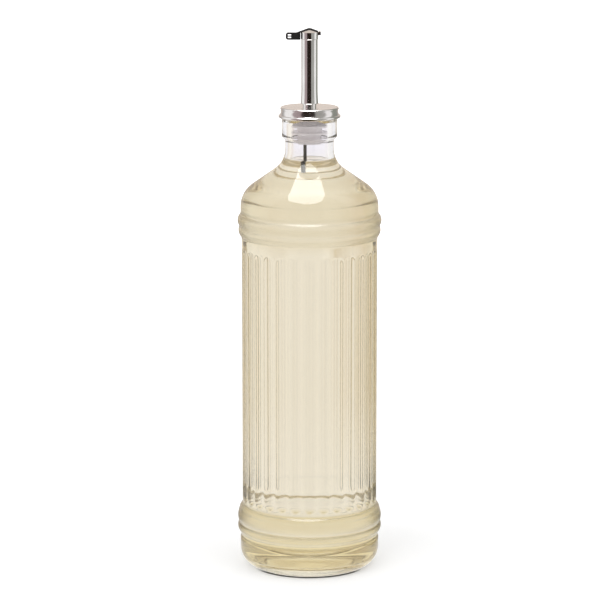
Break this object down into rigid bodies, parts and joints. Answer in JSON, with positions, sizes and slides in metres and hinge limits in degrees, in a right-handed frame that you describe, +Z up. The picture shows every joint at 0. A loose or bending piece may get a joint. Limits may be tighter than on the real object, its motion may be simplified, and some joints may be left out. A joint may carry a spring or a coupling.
{
  "type": "oil bottle",
  "caption": "Fluted clear glass bottle filled with pale oil, with a steel cap, a pouring tube and a hinged lid with a black lever.",
  "frame": {"origin": "centre of the base, on the plane that the bottle stands on", "axes": "+Z up along the bottle's axis; the lever points along -X and the lid's hinge lies at +X"},
  "size_m": [0.0766, 0.0766, 0.2881],
  "materials": {
    "clear_glass": "clear polished glass",
    "oil": "clear pale yellow oil",
    "stopper_plastic": "translucent ribbed plastic",
    "dark_pipe": "dark, smooth",
    "polished_steel": "polished stainless steel",
    "black_plastic": "black, slightly glossy"
  },
  "bodies": {
    "bottle": {"bottle": "clear_glass", "oil": "oil", "stopper": "stopper_plastic", "vent_pipe": "dark_pipe", "cap": "polished_steel", "spout": "polished_steel", "hinge_pin": "polished_steel"},
    "flap": {"lid": "polished_steel", "lever": "black_plastic"}
  },
  "joints": [
    {"name": "flap_hinge", "type": "hinge", "parent": "bottle", "child": "flap", "pos_m": [0.0053, 0, 0.2859], "axis": [0, 1, 0], "range_deg": [0, 100]}
  ]
}
